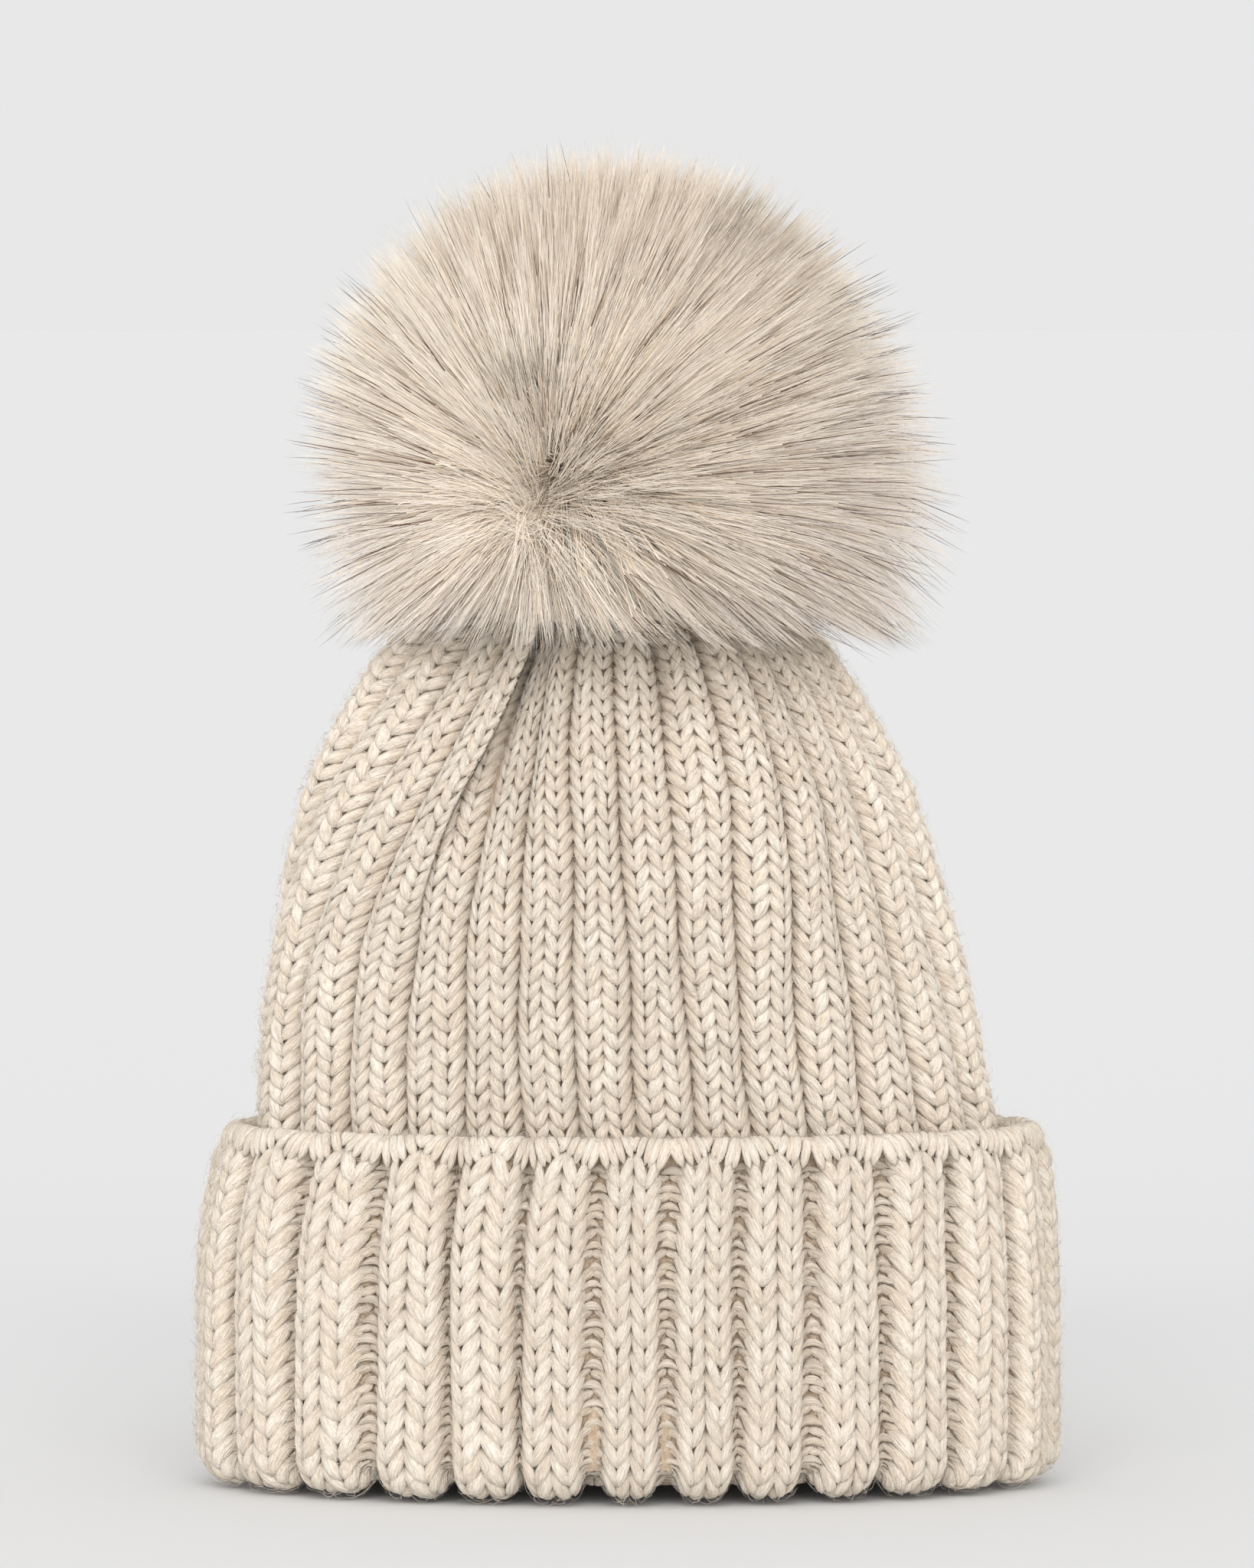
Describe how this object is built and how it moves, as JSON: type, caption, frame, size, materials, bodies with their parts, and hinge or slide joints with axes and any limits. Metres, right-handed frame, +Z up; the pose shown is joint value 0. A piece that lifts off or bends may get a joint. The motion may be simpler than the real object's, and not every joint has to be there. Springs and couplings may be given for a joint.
{
  "type": "pom pom beanie",
  "caption": "Rib-knit beanie with a turned-up cuff, a gathered crown and a long-pile faux-fur pom pom that snaps off a press stud.",
  "frame": {"origin": "centre of the lower face of the turned-up cuff, on the surface that the hat stands on", "axes": "+Z up through the crown and the pom pom, -Y out of the front of the hat, +X to the wearer's left"},
  "size_m": [0.2198, 0.156, 0.334],
  "materials": {
    "yarn": "matte",
    "thread": "matte",
    "felt": "matte",
    "steel": "satin",
    "satin": "satin",
    "backing": "matte",
    "filling": "matte",
    "fur": "matte"
  },
  "bodies": {
    "hat": {"body_knit": "yarn", "body_seam_thread": "thread", "crown_gather_thread": "thread", "crown_knot": "thread", "crown_washer": "felt", "snap_stud": "steel", "stud_cap": "steel", "care_label": "satin", "label_stitches": "thread"},
    "cuff": {"cuff_knit": "yarn", "cuff_seam_thread": "thread"},
    "ring_spring": {"socket_spring": "steel"},
    "pom_base": {"snap_socket": "steel", "socket_cap": "steel", "pom_base_disc": "felt", "pom_base_stitches": "thread"},
    "pom_ball": {"pom_gather_thread": "thread", "pom_backing": "backing", "pom_core": "filling", "fur_pile": "fur"}
  },
  "joints": [
    {"name": "cuff_turn", "type": "slide", "parent": "hat", "child": "cuff", "axis": [0, 0, -1], "range_m": [0, 0.08]},
    {"name": "pom_pull", "type": "slide", "parent": "hat", "child": "ring_spring", "axis": [0, 0, 1], "range_m": [0, 0.06]},
    {"name": "pom_swivel", "type": "hinge", "parent": "ring_spring", "child": "pom_base", "pos_m": [0, 0, 0.2344], "axis": [0, 0, 1], "continuous": true},
    {"name": "pom_nod", "type": "hinge", "parent": "pom_base", "child": "pom_ball", "pos_m": [0, 0, 0.2391], "axis": [1, 0, 0], "range_deg": [-10, 10], "stiffness_Nm_per_rad": 0.25}
  ]
}
